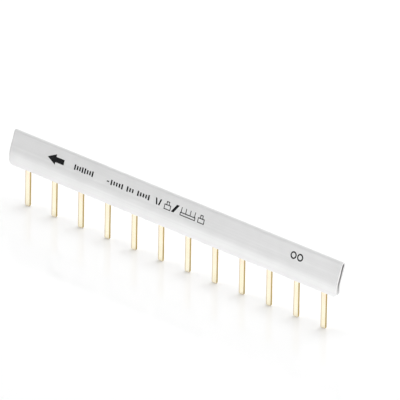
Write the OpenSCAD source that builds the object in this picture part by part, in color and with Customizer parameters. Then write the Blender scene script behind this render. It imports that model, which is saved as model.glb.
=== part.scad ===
// Single-pole comb busbar: a stamped and bent copper comb in an extruded U-shaped insulating profile.
// Frame: +X along the row, +Z up from the pin tips, -Y towards the smooth front of the profile.
// Origin: middle of the row, mid-thickness of the pins, level with their tips. Millimetres.

/* [Row] */
// Number of pins
pin_count = 12; // [2:1:24]
// Distance from pin to pin, one module of the devices it feeds
pin_pitch = 17.6; // [14:0.1:27]

/* [Copper comb] */
// Thickness of the copper sheet
sheet_t = 1; // [0.8:0.1:2]
// Width of each pin
pin_w = 3; // [2:0.1:5]
// Length of the pins below the insulation
pin_free = 19; // [10:0.5:25]
// Radius of the rounded corners of each pin tip
tip_r = 0.9; // [0.3:0.1:1.5]
// Coined bevel on the front and back edge of each pin tip
tip_bevel = 0.25; // [0.1:0.05:0.35]
// Radius where each pin runs into the strip
root_r = 1.2; // [0.4:0.1:2]
// Height of the strip that joins the pins, seen from the front
strip_h = 9.5; // [7:0.5:12]
// Copper beyond the middle of the first and the last pin
strip_over = 6; // [5:0.5:8]

/* [Bend] */
// How far the upper part leans back from the pins, in degrees
lean = 19; // [8:1:35]
// Bend radius at the middle of the sheet
bend_r = 10; // [5:0.5:12]
// Straight height of the profile below the bend
skirt_h = 4.3; // [3:0.1:8]
// Straight height of the strip above the bend
strip_top = 8.6; // [7:0.1:13]

/* [Insulating profile] */
// Wall thickness
wall = 0.75; // [0.5:0.05:1.2]
// Radius on the edges of the two lips
lip_r = 0.3; // [0.1:0.05:0.4]
// Radius of the lower corner of each end, seen from the front
end_corner_r = 2.6; // [0.5:0.1:3.5]
// Play between the copper and each wall
slot_play = 0.1; // [0.05:0.05:0.3]
// How far the comb sits back inside the left end
recess_left = 5.7; // [1:0.1:10]
// How far the comb sits back inside the right end
recess_right = 2.8; // [1:0.1:10]

/* [Hidden] */
$fn = 96;
// along the row
row_l = (pin_count - 1) * pin_pitch;
strip_l = row_l + 2 * strip_over;
profile_l = recess_left + strip_l + recess_right;
left_end = -strip_l / 2 - recess_left;
// across the section
slot_t = sheet_t + 2 * slot_play;
profile_t = slot_t + 2 * wall;
// heights of the lips, of the bend's lower end and of the strip's lower edge, where the pins begin
lip_z = pin_free;
bend_z = lip_z + skirt_h;
root_z = bend_z + bend_r * sin(lean) + strip_top * cos(lean) - strip_h;
// roundings stay within the pin and the wall that carry them
pin_tip_r = min(tip_r, 0.45 * pin_w);
lip_edge_r = min(lip_r, 0.45 * wall);
// how far cuts run past a face, and the depth that holds the whole lean of the comb
past = profile_t;
comb_depth = 2 * (bend_r + strip_top);

// Sections are drawn with Y to the right and Z up, and run along the row from from_x.
module along_row(from_x, l) {
    translate([from_x, 0, 0])
        rotate([90, 0, 90])
            linear_extrude(l)
                children();
}

// Outlines are drawn as seen from the front, and cut through the whole comb.
module seen_from_front() {
    rotate([90, 0, 0])
        linear_extrude(comb_depth, center = true)
            children();
}

// Area between a right-angled corner at the origin and the arc of radius r that rounds it.
module corner_area(r, side, up) {
    difference() {
        translate([side > 0 ? 0 : -r, up > 0 ? 0 : -r])
            square(r);
        translate([side * r, up * r])
            circle(r = r);
    }
}

// Band of thickness t along the bent sheet: drop is its length below the bend.
module bent_band(t, drop) {
    reach = 2 * (bend_r + t);
    translate([bend_r, bend_z]) {
        translate([-bend_r - t / 2, -drop])
            square([t, drop]);
        intersection() {
            difference() {
                circle(r = bend_r + t / 2);
                circle(r = bend_r - t / 2);
            }
            translate([-reach, 0])
                square(reach);
            rotate(-lean)
                translate([-reach, -reach])
                    square(reach);
        }
        rotate(-lean)
            translate([-bend_r - t / 2, 0])
                square([t, strip_top]);
    }
}

// The same band, closed by a full round above the strip's top edge.
module capped_band(t, drop) {
    bent_band(t, drop);
    translate([bend_r, bend_z])
        rotate(-lean)
            translate([-bend_r, strip_top])
                intersection() {
                    circle(d = t);
                    translate([-t, 0])
                        square([2 * t, t]);
                }
}

// Section of the bent sheet, bevelled at the pin tips.
module comb_section() {
    difference() {
        bent_band(sheet_t, bend_z);
        for (side = [-1, 1])
            translate([side * sheet_t / 2, 0])
                rotate(45)
                    square(sqrt(2) * tip_bevel, center = true);
    }
}

// One pin: a rounded tip, and a radius on each side where it meets the strip.
module pin_outline() {
    difference() {
        translate([-pin_w / 2, 0])
            square([pin_w, root_z + strip_h / 2]);
        for (side = [-1, 1])
            translate([side * pin_w / 2, 0])
                corner_area(pin_tip_r, -side, 1);
    }
    for (side = [-1, 1])
        translate([side * pin_w / 2, root_z])
            corner_area(root_r, side, -1);
}

// The comb as it is stamped: a strip with a row of pins.
module comb_outline() {
    translate([-strip_l / 2, root_z])
        square([strip_l, strip_h + past]);
    for (i = [0 : pin_count - 1])
        translate([i * pin_pitch - row_l / 2, 0])
            pin_outline();
}

// Section of the profile: two walls with rounded lips, joined by the round top.
module profile_section() {
    difference() {
        capped_band(profile_t, skirt_h);
        capped_band(slot_t, skirt_h + past);
        for (side = [-1, 1])
            translate([0, lip_z]) {
                translate([side * profile_t / 2, 0])
                    corner_area(lip_edge_r, -side, 1);
                translate([side * slot_t / 2, 0])
                    corner_area(lip_edge_r, side, 1);
            }
    }
}

// Copper comb: the stamped outline in the bent sheet.
module conductor_comb() {
    color("goldenrod")
        intersection() {
            along_row(-strip_l / 2, strip_l)
                comb_section();
            seen_from_front()
                comb_outline();
        }
}

// What the cut to length takes off the lower corners of both ends.
module end_corners() {
    for (side = [-1, 1])
        translate([side < 0 ? left_end : left_end + profile_l, lip_z])
            difference() {
                translate([side < 0 ? -past : -end_corner_r, -past])
                    square(end_corner_r + past);
                translate([-side * end_corner_r, end_corner_r])
                    circle(r = end_corner_r);
            }
}

// Insulating profile, open at both ends and along the bottom.
module insulating_profile() {
    color("gainsboro")
        difference() {
            along_row(left_end, profile_l)
                profile_section();
            seen_from_front()
                end_corners();
        }
}

conductor_comb();
insulating_profile();
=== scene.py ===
"""A comb busbar on a white light table: a stamped copper comb in an extruded PVC profile.

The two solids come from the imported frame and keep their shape. This file gives them
their finishes, prints the plain ink marks on the leaning face, and sets up the table,
the lamps and the camera. Lengths are metres unless a name or a comment says mm.
"""

import math

import bmesh
import bpy
from mathutils import Matrix, Vector
from mathutils.bvhtree import BVHTree


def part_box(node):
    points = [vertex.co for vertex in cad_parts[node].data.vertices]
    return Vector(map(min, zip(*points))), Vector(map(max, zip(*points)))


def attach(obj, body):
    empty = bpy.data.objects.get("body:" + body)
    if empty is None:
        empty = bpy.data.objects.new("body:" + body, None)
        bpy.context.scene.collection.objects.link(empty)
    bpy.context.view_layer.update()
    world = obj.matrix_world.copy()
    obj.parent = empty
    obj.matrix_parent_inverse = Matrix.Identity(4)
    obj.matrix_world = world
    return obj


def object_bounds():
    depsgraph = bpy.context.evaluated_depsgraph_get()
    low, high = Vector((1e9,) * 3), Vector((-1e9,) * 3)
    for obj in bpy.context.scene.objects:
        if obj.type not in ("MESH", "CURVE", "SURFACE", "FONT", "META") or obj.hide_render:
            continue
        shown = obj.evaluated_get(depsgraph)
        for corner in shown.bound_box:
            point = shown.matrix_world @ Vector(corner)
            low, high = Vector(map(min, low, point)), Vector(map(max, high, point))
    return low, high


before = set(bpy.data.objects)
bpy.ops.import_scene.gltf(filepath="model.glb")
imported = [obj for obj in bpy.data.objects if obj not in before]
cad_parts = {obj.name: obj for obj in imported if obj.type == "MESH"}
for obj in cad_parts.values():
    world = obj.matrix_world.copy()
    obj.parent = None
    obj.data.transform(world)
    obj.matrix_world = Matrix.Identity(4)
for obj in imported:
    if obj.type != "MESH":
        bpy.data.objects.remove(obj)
CAD_LOW, CAD_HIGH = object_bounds()

MM = 0.001

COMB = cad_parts["conductor_comb"]
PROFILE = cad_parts["insulating_profile"]
PROFILE_LOW, PROFILE_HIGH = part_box("insulating_profile")

# The pitch of the devices that the comb feeds, which is the spacing of its pins. A gap
# lies in the middle of the row, so the two pins beside it stand half a pitch from there.
PIN_PITCH = 17.6 * MM
PIN_WIDTH = 3.0 * MM
PIN_LENGTH = PROFILE_LOW.z

# How far the upper part of the body leans back.
LEAN = math.radians(19)

# Faces that meet at more than this angle meet in an edge. The others are one curved face.
EDGE_ANGLE = math.radians(35)


# ---------------------------------------------------------------- small helpers


def linear(hex_colour):
    """An sRGB hex colour as the linear RGBA that a shader socket takes."""
    parts = [int(hex_colour[i : i + 2], 16) / 255 for i in (1, 3, 5)]
    return tuple(c / 12.92 if c <= 0.04045 else ((c + 0.055) / 1.055) ** 2.4 for c in parts) + (1.0,)


def stretch(x_mm, y_mm, z_mm):
    """The mapping scale that gives a texture of scale 1 these feature sizes."""
    return tuple(1000.0 / size for size in (x_mm, y_mm, z_mm))


def add(tree, kind, settings=None, **inputs):
    """Adds a node. settings are its own properties. inputs are sockets, by name with
    underscores for spaces or _0, _1 for places; each is a value, another node's socket,
    or another node for its first socket."""
    node = tree.nodes.new("ShaderNode" + kind)
    for name, value in (settings or {}).items():
        setattr(node, name, value)
    for name, value in inputs.items():
        key = int(name[1:]) if name[0] == "_" else name.replace("_", " ")
        socket = node.inputs[key]
        if isinstance(value, bpy.types.Node):
            value = value.outputs[0]
        if isinstance(value, bpy.types.NodeSocket):
            tree.links.new(value, socket)
        else:
            socket.default_value = value
    return node


def new_material(name):
    """An empty node material and its tree."""
    material = bpy.data.materials.new(name)
    material.use_nodes = True
    material.node_tree.nodes.clear()
    return material, material.node_tree


# Settings of mix and maths nodes. A mix of colours has its factor in place 0, its
# colours in places 6 and 7, and its result in output 2; a mix of numbers has its factor
# in place 0, and its numbers in places 2 and 3.
COLOURS = {"data_type": "RGBA"}
ABSOLUTE = {"operation": "ABSOLUTE"}
MULTIPLY = {"operation": "MULTIPLY"}
MAXIMUM = {"operation": "MAXIMUM"}
WRAP = {"operation": "WRAP"}


# ---------------------------------------------------------------- finishes


def extruded_pvc():
    """Light grey PVC as it leaves the die: satin, with faint lines along the run, a
    slight cloudiness in the pigment, and paler rough ends where the saw cut it."""
    material, tree = new_material("extruded_pvc")
    place = add(tree, "TexCoord")
    spot = place.outputs["Object"]
    at = add(tree, "SeparateXYZ", Vector=spot)
    facing = add(tree, "SeparateXYZ", Vector=place.outputs["Normal"])
    endwise = add(tree, "Math", ABSOLUTE, _0=facing.outputs["X"])
    on_cut = add(tree, "MapRange", Value=endwise, From_Min=0.6, From_Max=0.9)

    # The die draws lines along the run. They are drawn about 1 mm apart, coarser than
    # real ones, so that they show. The pigment has clouds of about 1 cm.
    along = add(tree, "Mapping", Vector=spot, Scale=stretch(160, 0.9, 0.9))
    lines = add(tree, "TexNoise", Vector=along, Scale=1.0, Detail=4.0)
    wide = add(tree, "Mapping", Vector=spot, Scale=stretch(14, 9, 9))
    clouds = add(tree, "TexNoise", Vector=wide, Scale=1.0, Detail=2.0)
    tone = add(tree, "Math", MULTIPLY, _0=lines, _1=clouds)
    pale = add(tree, "MapRange", Value=tone, From_Min=0.12, From_Max=0.42)
    skin = add(tree, "Mix", COLOURS, _0=pale, _6=linear("#DADADA"), _7=linear("#E2E2E2"))

    # Painted shade: a faint grey line along the left end, where its rounded edge turns away from the
    # light.
    left_end_shade = add(
        tree,
        "MapRange",
        Value=at.outputs["X"],
        From_Min=PROFILE_LOW.x + 0.9 * MM,
        From_Max=PROFILE_LOW.x + 0.4 * MM,
    )
    skin = add(tree, "Mix", COLOURS, _0=left_end_shade, _6=skin.outputs[2], _7=linear("#CFCFCF"))

    # Saw marks run across the wall, drawn 0.3 mm apart, which is coarser than a fine saw
    # leaves them, so that they show.
    across = add(tree, "Mapping", Vector=spot, Scale=stretch(4, 2.5, 0.3))
    saw = add(tree, "TexNoise", Vector=across, Scale=1.0, Detail=2.0)
    cut = add(tree, "Mix", COLOURS, _0=saw, _6=linear("#D2D2D2"), _7=linear("#EAEAEA"))
    plain = add(tree, "Mix", COLOURS, _0=on_cut, _6=skin.outputs[2], _7=cut.outputs[2])

    # Painted shade: the slot is darker where the ambient occlusion finds it enclosed, less so near
    # the open lower end.
    reach = add(tree, "AmbientOcclusion", {"samples": 8}, Distance=3 * MM)
    open_to_light = add(tree, "MapRange", Value=reach.outputs["AO"], From_Min=0.15, From_Max=0.8)
    low_down = add(
        tree,
        "MapRange",
        Value=at.outputs["Z"],
        From_Min=PROFILE_LOW.z + 12 * MM,
        From_Max=PROFILE_LOW.z + 2 * MM,
        To_Max=0.9,
    )
    slot_unshaded = add(tree, "Math", MAXIMUM, _0=open_to_light, _1=low_down)
    colour = add(tree, "Mix", COLOURS, _0=slot_unshaded, _6=linear("#7C7C7C"), _7=plain.outputs[2])

    satin = add(
        tree, "MapRange", Value=lines, From_Min=0.3, From_Max=0.7, To_Min=0.40, To_Max=0.46
    )
    rough = add(tree, "Mix", _0=on_cut, _2=satin, _3=0.75)
    relief = add(tree, "Mix", _0=on_cut, _2=lines, _3=saw)
    bump = add(tree, "Bump", Height=relief, Strength=0.06, Distance=0.05 * MM)
    shader = add(
        tree,
        "BsdfPrincipled",
        Base_Color=colour.outputs[2],
        Roughness=rough,
        IOR=1.53,
        Normal=bump,
    )
    add(tree, "OutputMaterial", Surface=shader)
    return material


def bright_copper():
    """Bright rolled copper strip, pale gold where it mirrors the table: a rolled grain
    along the row, a peach stain in places, painted shade along the edge that the die
    drew down beside each pin, and duller sheared side edges coloured darker as painted shade."""
    material, tree = new_material("bright_rolled_copper")
    place = add(tree, "TexCoord")
    spot = place.outputs["Object"]
    at = add(tree, "SeparateXYZ", Vector=spot)
    facing = add(tree, "SeparateXYZ", Vector=place.outputs["Normal"])
    sideways = add(tree, "Math", ABSOLUTE, _0=facing.outputs["X"])
    on_edge = add(tree, "MapRange", Value=sideways, From_Min=0.25, From_Max=0.75)

    # A rolled grain is finer than 0.1 mm. It is drawn 0.25 to 0.4 mm wide so that it shows.
    along = add(tree, "Mapping", Vector=spot, Scale=stretch(12, 0.4, 0.25))
    grain = add(tree, "TexNoise", Vector=along, Scale=1.0, Detail=3.0)
    wide = add(tree, "Mapping", Vector=spot, Scale=stretch(6, 6, 9))
    stain = add(tree, "TexNoise", Vector=wide, Scale=1.0, Detail=2.0)
    tone = add(tree, "Math", MULTIPLY, _0=grain, _1=stain)
    pale = add(tree, "MapRange", Value=tone, From_Min=0.1, From_Max=0.45)
    rolled = add(tree, "Mix", COLOURS, _0=pale, _6=linear("#FAF1D4"), _7=linear("#FDF9E6"))

    # The stain is a breath of redder copper near the insulation.
    high = add(
        tree, "MapRange", Value=at.outputs["Z"], From_Min=PIN_LENGTH * 0.3, From_Max=PIN_LENGTH
    )
    spread = add(tree, "MapRange", Value=stain, From_Min=0.35, From_Max=0.65)
    blush = add(tree, "Math", MULTIPLY, _0=high, _1=spread)
    stained = add(tree, "Mix", COLOURS, _0=blush, _6=rolled.outputs[2], _7=linear("#FCEBD3"))

    # Painted shade, 0.5 mm wide, along the left side of a pin and round its tip, where the die drew
    # the edge down.
    shifted = add(tree, "Math", _0=at.outputs["X"], _1=PIN_PITCH / 2)
    off_middle = add(tree, "Math", WRAP, _0=shifted, _1=PIN_PITCH / 2, _2=-PIN_PITCH / 2)
    near_side = add(
        tree,
        "MapRange",
        Value=off_middle,
        From_Min=-PIN_WIDTH / 2 + 0.6 * MM,
        From_Max=-PIN_WIDTH / 2 + 0.4 * MM,
    )
    near_tip = add(
        tree, "MapRange", Value=at.outputs["Z"], From_Min=0.45 * MM, From_Max=0.25 * MM
    )
    drawn = add(tree, "Math", MAXIMUM, _0=near_side, _1=near_tip)
    front = add(tree, "Mix", COLOURS, _0=drawn, _6=stained.outputs[2], _7=linear("#D8C6A6"))

    # The shear drags its marks through the sheet's thickness. Real marks are finer than
    # the 0.35 mm drawn here, which lets them show.
    through = add(tree, "Mapping", Vector=spot, Scale=stretch(0.5, 1.2, 0.35))
    drag = add(tree, "TexNoise", Vector=through, Scale=1.0, Detail=3.0)
    # The sheared sides are coloured darker than the faces, as painted shade; their dullness and
    # shear marks are their own.
    edge = add(tree, "Mix", COLOURS, _0=drag, _6=linear("#96803F"), _7=linear("#BFA56B"))
    colour = add(tree, "Mix", COLOURS, _0=on_edge, _6=front.outputs[2], _7=edge.outputs[2])

    bright = add(
        tree, "MapRange", Value=grain, From_Min=0.3, From_Max=0.7, To_Min=0.16, To_Max=0.24
    )
    rough = add(tree, "Mix", _0=on_edge, _2=bright, _3=0.5)
    relief = add(tree, "Mix", _0=on_edge, _2=grain, _3=drag)
    bump = add(tree, "Bump", Height=relief, Strength=0.05, Distance=0.04 * MM)
    shader = add(
        tree,
        "BsdfPrincipled",
        Base_Color=colour.outputs[2],
        Metallic=1.0,
        Roughness=rough,
        Normal=bump,
    )
    add(tree, "OutputMaterial", Surface=shader)
    return material


def printing_ink():
    """Matt black pad-printing ink, a little thin in places so that it reads dark grey.
    The thin places are drawn 0.7 mm wide, coarser than real ones, so that they show."""
    material, tree = new_material("pad_printing_ink")
    spot = add(tree, "TexCoord").outputs["Object"]
    small = add(tree, "Mapping", Vector=spot, Scale=stretch(0.7, 0.7, 0.7))
    patches = add(tree, "TexNoise", Vector=small, Scale=1.0, Detail=2.0)
    thin = add(tree, "MapRange", Value=patches, From_Min=0.45, From_Max=0.75)
    colour = add(tree, "Mix", COLOURS, _0=thin, _6=linear("#0E0E10"), _7=linear("#262629"))
    rough = add(
        tree, "MapRange", Value=patches, From_Min=0.3, From_Max=0.7, To_Min=0.55, To_Max=0.7
    )
    shader = add(
        tree,
        "BsdfPrincipled",
        Base_Color=colour.outputs[2],
        Roughness=rough,
        IOR=1.5,
        Specular_IOR_Level=0.12,
    )
    add(tree, "OutputMaterial", Surface=shader)
    return material


def light_table():
    """A white acrylic table top, lit from below along the row. Seen by the camera or in
    a reflection it is plain white, and a shadow on it still shows."""
    # The strip of lamps under the table lies in front of the row, with its middle this
    # far from it. Its light is full up to one distance and has faded at the other.
    strip_offset = 60 * MM
    full_to, faded_at = 50 * MM, 110 * MM
    # The light on the part over the strip and away from it, and what the camera and a
    # reflection see of it.
    strip_glow, far_glow = 1.05, 0.05
    seen_glow, mirrored_glow = 0.16, 0.26

    material, tree = new_material("white_acrylic_table")
    spot = add(tree, "TexCoord").outputs["Object"]
    wide = add(tree, "Mapping", Vector=spot, Scale=stretch(200, 200, 200))
    cloud = add(tree, "TexNoise", Vector=wide, Scale=1.0, Detail=1.0)
    colour = add(tree, "Mix", COLOURS, _0=cloud, _6=linear("#F2F2F2"), _7=linear("#F4F4F4"))

    at = add(tree, "SeparateXYZ", Vector=spot)
    shifted = add(tree, "Math", _0=at.outputs["Y"], _1=strip_offset)
    away = add(tree, "Math", ABSOLUTE, _0=shifted)
    glow = add(
        tree,
        "MapRange",
        Value=away,
        From_Min=full_to,
        From_Max=faded_at,
        To_Min=strip_glow,
        To_Max=far_glow,
    )

    ray = add(tree, "LightPath")
    mirrored = add(
        tree,
        "Math",
        MAXIMUM,
        _0=ray.outputs["Is Glossy Ray"],
        _1=ray.outputs["Is Transmission Ray"],
    )
    unseen = add(tree, "Mix", _0=mirrored, _2=glow, _3=mirrored_glow)
    strength = add(tree, "Mix", _0=ray.outputs["Is Camera Ray"], _2=unseen, _3=seen_glow)
    shader = add(
        tree,
        "BsdfPrincipled",
        Base_Color=colour.outputs[2],
        Roughness=0.08,
        IOR=1.49,
        Emission_Color=(1.0, 1.0, 1.0, 1.0),
        Emission_Strength=strength,
    )

    # From below the table is clear, so that the part can be looked at from there.
    side = add(tree, "NewGeometry")
    clear = add(tree, "BsdfTransparent")
    top = add(tree, "MixShader", _0=side.outputs["Backfacing"], _1=shader, _2=clear)
    add(tree, "OutputMaterial", Surface=top)
    return material


# ---------------------------------------------------------------- the two solids


def smooth_shading():
    """Shades faces that meet at a slight angle as one curved surface, so that the bend
    and the round top show no facets."""
    group = bpy.data.node_groups.new("smooth_shading", "GeometryNodeTree")
    for way in ("INPUT", "OUTPUT"):
        group.interface.new_socket("Geometry", in_out=way, socket_type="NodeSocketGeometry")
    start = group.nodes.new("NodeGroupInput")
    angle = group.nodes.new("GeometryNodeInputMeshEdgeAngle")
    steep = group.nodes.new("FunctionNodeCompare")
    steep.inputs["B"].default_value = EDGE_ANGLE
    shade = group.nodes.new("GeometryNodeSetMeshNormal")
    end = group.nodes.new("NodeGroupOutput")
    group.links.new(angle.outputs["Unsigned Angle"], steep.inputs["A"])
    group.links.new(start.outputs[0], shade.inputs["Mesh"])
    group.links.new(steep.outputs[0], shade.inputs["Edge Sharpness"])
    group.links.new(shade.outputs[0], end.inputs[0])
    return group


def dress(solid, material, shading, edge_mm):
    """Gives a solid its finish and breaks its sharp edges by edge_mm. Points that
    coincide are joined first, so that the faces on both sides of an edge are one mesh,
    and the large faces then set how the broken edges shade."""
    solid.data.materials.clear()
    solid.data.materials.append(material)
    weld = solid.modifiers.new("weld", "WELD")
    weld.merge_threshold = 0.001 * MM
    smooth = solid.modifiers.new("smooth", "NODES")
    smooth.node_group = shading
    bevel = solid.modifiers.new("broken_edges", "BEVEL")
    bevel.width = edge_mm * MM
    bevel.segments = 2
    bevel.limit_method = "ANGLE"
    bevel.angle_limit = EDGE_ANGLE
    even = solid.modifiers.new("even_shading", "WEIGHTED_NORMAL")
    even.weight = 100
    even.keep_sharp = True


def dress_solids():
    """Dresses the plastic profile and the copper comb."""
    pvc, copper = extruded_pvc(), bright_copper()
    shading = smooth_shading()
    dress(PROFILE, pvc, shading, edge_mm=0.08)
    dress(COMB, copper, shading, edge_mm=0.1)


# ---------------------------------------------------------------- the printed marks


class Print:
    """Flat ink shapes on the leaning face, in a mark that starts so many mm from the
    profile's left end. A place is a point x along the mark and a height s up the face
    from the marks' common middle line. All are in mm, and pen is the width of a line."""

    # How thick the ink lies, and how far the middle line is below the top edge.
    thickness = 0.03
    middle = 6.2

    def __init__(self, name, start, pen=0.42):
        self.name = name
        self.start = start
        self.pen = pen
        self.shapes = []

    def bar(self, x, s, width, height, slant=0.0):
        """A filled bar with its middle at (x, s), its top moved sideways by slant."""
        w, h, lean = width / 2, height / 2, slant / 2
        self.shapes.append(
            [
                (x - w - lean, s - h),
                (x + w - lean, s - h),
                (x + w + lean, s + h),
                (x - w + lean, s + h),
            ]
        )

    def line(self, points, closed=False):
        """A line of one pen width through the points."""
        ends = list(zip(points, points[1:] + points[:1] if closed else points[1:]))
        for (x0, s0), (x1, s1) in ends:
            run = math.hypot(x1 - x0, s1 - s0)
            dx, ds = (x1 - x0) / run * self.pen / 2, (s1 - s0) / run * self.pen / 2
            self.shapes.append(
                [
                    (x0 - dx + ds, s0 - ds - dx),
                    (x1 + dx + ds, s1 + ds - dx),
                    (x1 + dx - ds, s1 + ds + dx),
                    (x0 - dx - ds, s0 - ds + dx),
                ]
            )

    def box(self, x, s, width, height):
        """The outline of a box with its middle at (x, s)."""
        w, h = width / 2, height / 2
        corners = [(x - w, s - h), (x + w, s - h), (x + w, s + h), (x - w, s + h)]
        self.line(corners, closed=True)

    def ring(self, x, s, size, sides=20):
        """The outline of a circle."""
        turns = [2 * math.pi * i / sides for i in range(sides)]
        r = size / 2
        self.line([(x + r * math.cos(t), s + r * math.sin(t)) for t in turns], closed=True)

    def press(self, face, ink):
        """Presses the shapes on to the face as thin solids and makes them one piece."""
        left = PROFILE_LOW.x + self.start * MM
        clear_of_face = PROFILE_LOW.y - 10 * MM
        mesh = bmesh.new()
        for shape in self.shapes:
            under, over = [], []
            for x, s in shape:
                height = PROFILE_HIGH.z - (self.middle - s) * MM * math.cos(LEAN)
                in_front = Vector((left + x * MM, clear_of_face, height))
                hit, normal, _, _ = face.ray_cast(in_front, Vector((0.0, 1.0, 0.0)))
                under.append(mesh.verts.new(hit))
                over.append(mesh.verts.new(hit + normal * (self.thickness * MM)))
            mesh.faces.new(over)
            mesh.faces.new(list(reversed(under)))
            for i, corner in enumerate(over):
                j = (i + 1) % len(over)
                mesh.faces.new([corner, under[i], under[j], over[j]])
        bmesh.ops.recalc_face_normals(mesh, faces=mesh.faces[:])
        data = bpy.data.meshes.new(self.name)
        mesh.to_mesh(data)
        mesh.free()
        data.materials.append(ink)
        piece = bpy.data.objects.new(self.name, data)
        bpy.context.scene.collection.objects.link(piece)
        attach(piece, "root")


def print_marks():
    """Plain marks, of the weight that such a bar carries: an arrow towards the feed, tick
    rows, outlines of a cap, a cut, a comb and a cap, and two rings."""
    face = BVHTree.FromObject(PROFILE, bpy.context.evaluated_depsgraph_get())
    ink = printing_ink()
    tick = 0.9  # the width of a tick, in mm

    arrow = Print("print_arrow", start=24.0)
    arrow.shapes.append([(0, 0.2), (5.4, -2.4), (5.4, 2.8)])
    arrow.bar(8.1, 0.2, width=5.4, height=2.6)
    arrow.press(face, ink)

    short_row = Print("print_short_ticks", start=42.1)
    for i in range(8):
        tall = i in (0, 3, 4, 7)
        short_row.bar(1.65 * i, 0.3, width=tick, height=2.7 if tall else 2.0)
    short_row.press(face, ink)

    long_row = Print("print_long_ticks", start=63.9)
    long_row.bar(0, 0, width=1.4, height=0.6)
    for i in range(15):
        if i in (5, 9):
            continue
        tall = i in (0, 4, 6, 10, 14)
        long_row.bar(2.3 + 1.75 * i, 0.1, width=tick, height=2.6 if tall else 1.9)
    long_row.press(face, ink)

    outlines = Print("print_outlines", start=95.9)
    for x, slant in ((0, -0.9), (2.2, 0.9)):
        outlines.bar(x, 0.1, width=tick, height=3.2, slant=slant)
    for cap in (7.3, 29.2):
        outlines.box(cap, -0.8, width=3.8, height=2.2)
        outlines.box(cap, 1.1, width=1.5, height=1.6)
    outlines.bar(12.2, 0.1, width=1.7, height=4.2, slant=2.8)
    first, step, teeth = 16.2, 2.9, 4
    last = first + step * (teeth - 1)
    outlines.box((first + last) / 2, -1.2, width=last - first + 0.8, height=1.3)
    for i in range(teeth):
        outlines.line([(first + step * i, -0.6), (first + step * i, 1.9)])
    outlines.press(face, ink)

    rings = Print("print_rings", start=184.6, pen=0.65)
    for x in (0, 4.2):
        rings.ring(x, 1.0, size=3.0)
    rings.press(face, ink)


# ---------------------------------------------------------------- table and light


def table_top():
    """A round table top just below the pin tips."""
    mesh = bmesh.new()
    bmesh.ops.create_circle(mesh, cap_ends=True, segments=96, radius=3.0)
    data = bpy.data.meshes.new("table")
    mesh.to_mesh(data)
    mesh.free()
    data.materials.append(light_table())
    top = bpy.data.objects.new("table", data)
    bpy.context.scene.collection.objects.link(top)
    top.location.z = CAD_LOW.z - 0.02 * MM


def softbox(name, towards, distance, width, height, level):
    """A soft lamp. towards points from the part to the lamp, and level is the part of
    full light that it gives a surface that faces it."""
    direction = Vector(towards).normalized()
    lamp = bpy.data.lights.new(name, "AREA")
    lamp.shape = "RECTANGLE"
    lamp.size, lamp.size_y = width, height
    # On its middle axis a far flat lamp gives energy / (pi * distance^2), and a white
    # surface sends back 1 / pi of that.
    lamp.energy = level * math.pi * math.pi * distance**2
    box = bpy.data.objects.new(name, lamp)
    box.location = direction * distance + Vector((0, 0, CAD_LOW.z))
    box.rotation_mode = "QUATERNION"
    box.rotation_quaternion = direction.to_track_quat("Z", "Y")
    box.visible_camera = False
    bpy.context.scene.collection.objects.link(box)


def lamps():
    """Two low lamps light the front and the right end, and two large ones light the
    part from behind and from above."""
    softbox("front_lamp", towards=(0.6, -0.78, 0.1), distance=1.0, width=0.6, height=0.2, level=0.28)
    softbox("back_lamp", towards=(-0.1, 0.6, 0.8), distance=1.6, width=1.4, height=1.4, level=0.44)
    softbox("over_lamp", towards=(-0.05, 0.1, 0.99), distance=1.6, width=1.4, height=0.8, level=0.45)
    softbox("end_lamp", towards=(1.0, 0.4, 0.12), distance=1.6, width=0.5, height=0.4, level=0.18)


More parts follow.
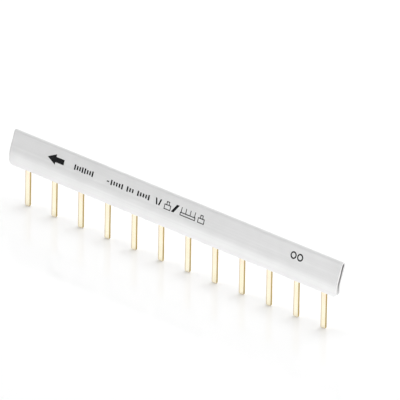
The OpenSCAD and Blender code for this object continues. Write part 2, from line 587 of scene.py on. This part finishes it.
def studio_world():
    """A white room for the camera and in reflections, which is dimmer for plain light
    and, in reflections, a little dimmer at the front of the room."""
    ambient, dim_front, white_back = 0.25, 0.85, 1.0
    world = bpy.data.worlds.new("white_room")
    world.use_nodes = True
    bpy.context.scene.world = world
    tree = world.node_tree
    tree.nodes.clear()
    direction = add(tree, "TexCoord").outputs["Generated"]
    towards = add(tree, "SeparateXYZ", Vector=direction)
    room = add(
        tree,
        "MapRange",
        Value=towards.outputs["Y"],
        From_Min=-0.8,
        From_Max=0.2,
        To_Min=dim_front,
        To_Max=white_back,
    )
    ray = add(tree, "LightPath")
    mirrored = add(
        tree,
        "Math",
        MAXIMUM,
        _0=ray.outputs["Is Glossy Ray"],
        _1=ray.outputs["Is Transmission Ray"],
    )
    unseen = add(tree, "Mix", _0=mirrored, _2=ambient, _3=room)
    strength = add(tree, "Mix", _0=ray.outputs["Is Camera Ray"], _2=unseen, _3=1.0)
    shade = add(tree, "Background", Color=(1.0, 1.0, 1.0, 1.0), Strength=strength)
    add(tree, "OutputWorld", Surface=shade)


# ---------------------------------------------------------------- camera


def portrait_camera():
    """A long lens, so that the row hardly narrows, to the right of the part and above.
    The part lies a little left of and below the middle of the view."""
    azimuth, elevation, roll = (math.radians(d) for d in (42.4, 25.4, 1.08))
    distance = 6130 * MM
    view_width = 192.1 * MM
    aim_right, aim_up = 11.96 * MM, 14.51 * MM

    right = Vector((math.cos(azimuth), math.sin(azimuth), 0.0))
    back = Vector(
        (
            math.sin(azimuth) * math.cos(elevation),
            -math.cos(azimuth) * math.cos(elevation),
            math.sin(elevation),
        )
    )
    up = back.cross(right)
    turn = Matrix.Rotation(roll, 3, back)
    right, up = turn @ right, turn @ up
    aim = (CAD_LOW + CAD_HIGH) / 2 + right * aim_right + up * aim_up

    data = bpy.data.cameras.new("portrait")
    data.sensor_width = 36.0
    data.lens = data.sensor_width * distance / view_width
    data.clip_start, data.clip_end = 0.1, 50.0
    camera = bpy.data.objects.new("portrait", data)
    camera.location = back * distance
    look = (camera.location - aim).normalized()
    side = up.cross(look).normalized()
    camera.rotation_mode = "QUATERNION"
    camera.rotation_quaternion = (
        Matrix((side, look.cross(side), look)).transposed().to_quaternion()
    )
    bpy.context.scene.collection.objects.link(camera)
    bpy.context.scene.camera = camera


# ---------------------------------------------------------------- making it


dress_solids()
print_marks()
table_top()
studio_world()
lamps()
portrait_camera()
bpy.context.scene.view_settings.view_transform = "Standard"
